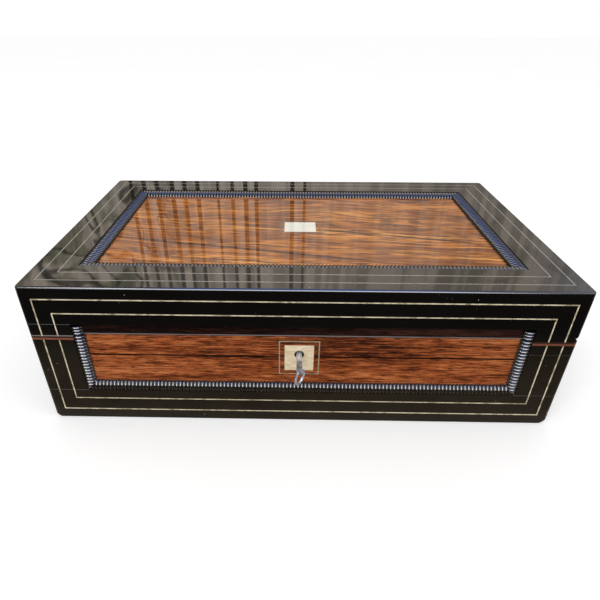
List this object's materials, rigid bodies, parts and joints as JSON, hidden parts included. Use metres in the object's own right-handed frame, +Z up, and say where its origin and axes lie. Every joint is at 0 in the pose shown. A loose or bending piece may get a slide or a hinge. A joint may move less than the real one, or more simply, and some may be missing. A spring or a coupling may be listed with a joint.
{
  "type": "writing slope",
  "caption": "Folding writing slope: ebonised box with sunk rosewood panels in ripple mouldings, brass lines, lock and key; the lid opens flat behind it into a slope with two writing flaps.",
  "frame": {"origin": "middle of the box's underside, between its front and back faces and its two sides, without the key and the hinge knuckles", "axes": "+Z up, +X to the right as seen from the lock side, +Y from the lock side to the hinges"},
  "size_m": [0.4, 0.2696, 0.1235],
  "materials": {
    "ebonised": "ebonised and polished, hairline cracks and worn arrises",
    "mahogany": "bare and oiled, fine straight grain",
    "rosewood": "French polished, dark streaks",
    "brass": "aged, softly polished",
    "nacre": "polished mother of pearl",
    "steel": "worn bright",
    "glass": "clear pressed glass",
    "leather": "tooled writing skin",
    "ribbon": "silk ribbon",
    "paper": "lining paper"
  },
  "bodies": {
    "base": {"base_front_board": "ebonised", "base_back_board": "ebonised", "base_left_board": "ebonised", "base_right_board": "ebonised", "base_bottom_board": "mahogany", "base_front_border": "ebonised", "base_lipping": "mahogany", "base_front_panel": "rosewood", "base_front_moulding": "ebonised", "base_stringing": "brass", "escutcheon": "nacre", "escutcheon_line": "brass", "lock_case": "steel", "lock_plate": "brass", "lock_selvedge": "brass", "lock_drill_pin": "steel", "lock_spring": "steel", "lock_screws": "brass", "compartment_dividers": "mahogany", "pen_tray": "mahogany", "well_lining": "paper", "base_flap_ledges": "mahogany", "hinge_base_leaves": "brass", "hinge_pins": "steel", "hinge_base_screws": "brass", "inkwell_bottles": "glass", "inkwell_collars": "brass", "inkwell_hinge_pins": "brass"},
    "key": {"key": "steel"},
    "bolt": {"lock_bolt": "steel"},
    "cap_left": {"inkwell_cap_left": "brass"},
    "cap_right": {"inkwell_cap_right": "brass"},
    "base_flap": {"base_flap_board": "mahogany", "base_flap_leather": "leather", "base_flap_pins": "brass", "base_flap_tab": "ribbon"},
    "lid": {"lid_top_board": "ebonised", "lid_front_board": "ebonised", "lid_back_board": "ebonised", "lid_left_board": "ebonised", "lid_right_board": "ebonised", "lid_top_border": "ebonised", "lid_front_border": "ebonised", "lid_top_panel": "rosewood", "lid_front_panel": "rosewood", "lid_top_moulding": "ebonised", "lid_front_moulding": "ebonised", "lid_top_stringing": "brass", "lid_front_stringing": "brass", "plaque": "nacre", "plaque_line": "brass", "link_plate": "brass", "link_plate_screws": "brass", "hinge_lid_leaves": "brass", "hinge_lid_screws": "brass", "lid_flap_ledges": "mahogany", "lid_flap_catch": "brass"},
    "lid_flap": {"lid_flap_board": "mahogany", "lid_flap_leather": "leather", "lid_flap_pins": "brass"}
  },
  "joints": [
    {"name": "lid_hinge", "type": "hinge", "parent": "base", "child": "lid", "pos_m": [0, 0.1198, 0.06175], "axis": [-1, 0, 0], "range_deg": [0, 180]},
    {"name": "key_turn", "type": "hinge", "parent": "base", "child": "key", "pos_m": [-0.0011, -0.1195, 0.0645], "axis": [0, 1, 0], "range_deg": [-32.6, 147.4]},
    {"name": "bolt_slide", "type": "slide", "parent": "base", "child": "bolt", "axis": [1, 0, 0], "range_m": [-0.0009, 0.00409]},
    {"name": "cap_left_hinge", "type": "hinge", "parent": "base", "child": "cap_left", "pos_m": [-0.165, -0.0656, 0.0443], "axis": [-1, 0, 0], "range_deg": [0, 95]},
    {"name": "cap_right_hinge", "type": "hinge", "parent": "base", "child": "cap_right", "pos_m": [0.165, -0.0656, 0.0443], "axis": [-1, 0, 0], "range_deg": [0, 95]},
    {"name": "base_flap_hinge", "type": "hinge", "parent": "base", "child": "base_flap", "pos_m": [0, 0.10304, 0.05738], "axis": [-1, 0, 0], "range_deg": [0, 2]},
    {"name": "lid_flap_hinge", "type": "hinge", "parent": "lid", "child": "lid_flap", "pos_m": [0, 0.10399, 0.06884], "axis": [1, 0, 0], "range_deg": [0, 1.3]}
  ],
  "couplings": [
    {"joint": "key_turn", "follows": "bolt_slide", "rad_per_m": 628.32}
  ]
}
